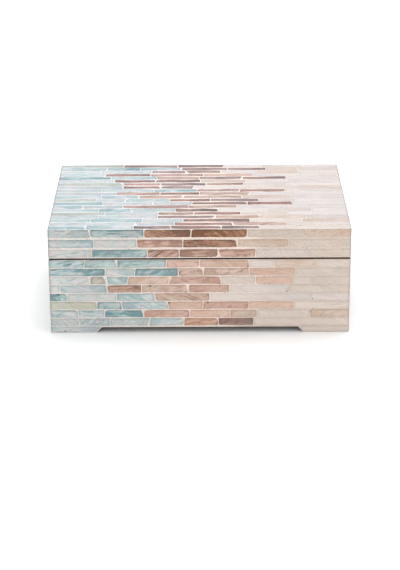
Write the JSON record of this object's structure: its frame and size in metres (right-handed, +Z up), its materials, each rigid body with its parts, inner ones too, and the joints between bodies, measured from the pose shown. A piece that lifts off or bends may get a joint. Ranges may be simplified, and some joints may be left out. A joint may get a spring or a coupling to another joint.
{
  "type": "mother of pearl box",
  "caption": "Rectangular lidded keepsake box on bracket feet, hollow, with a lift-off lid, clad in brick-laid strips of mother of pearl.",
  "frame": {"origin": "on the table, under the middle of the box", "axes": "+X along the front to the cream end, +Y from the front to the back, +Z up"},
  "size_m": [0.28, 0.19, 0.1036],
  "materials": {
    "stained_wood": "satin",
    "mother_of_pearl": "gloss",
    "grout": "matte"
  },
  "bodies": {
    "root": {"base_carcass": "stained_wood", "lid_carcass": "stained_wood", "base_inlay": "mother_of_pearl", "lid_inlay": "mother_of_pearl"}
  },
  "joints": []
}
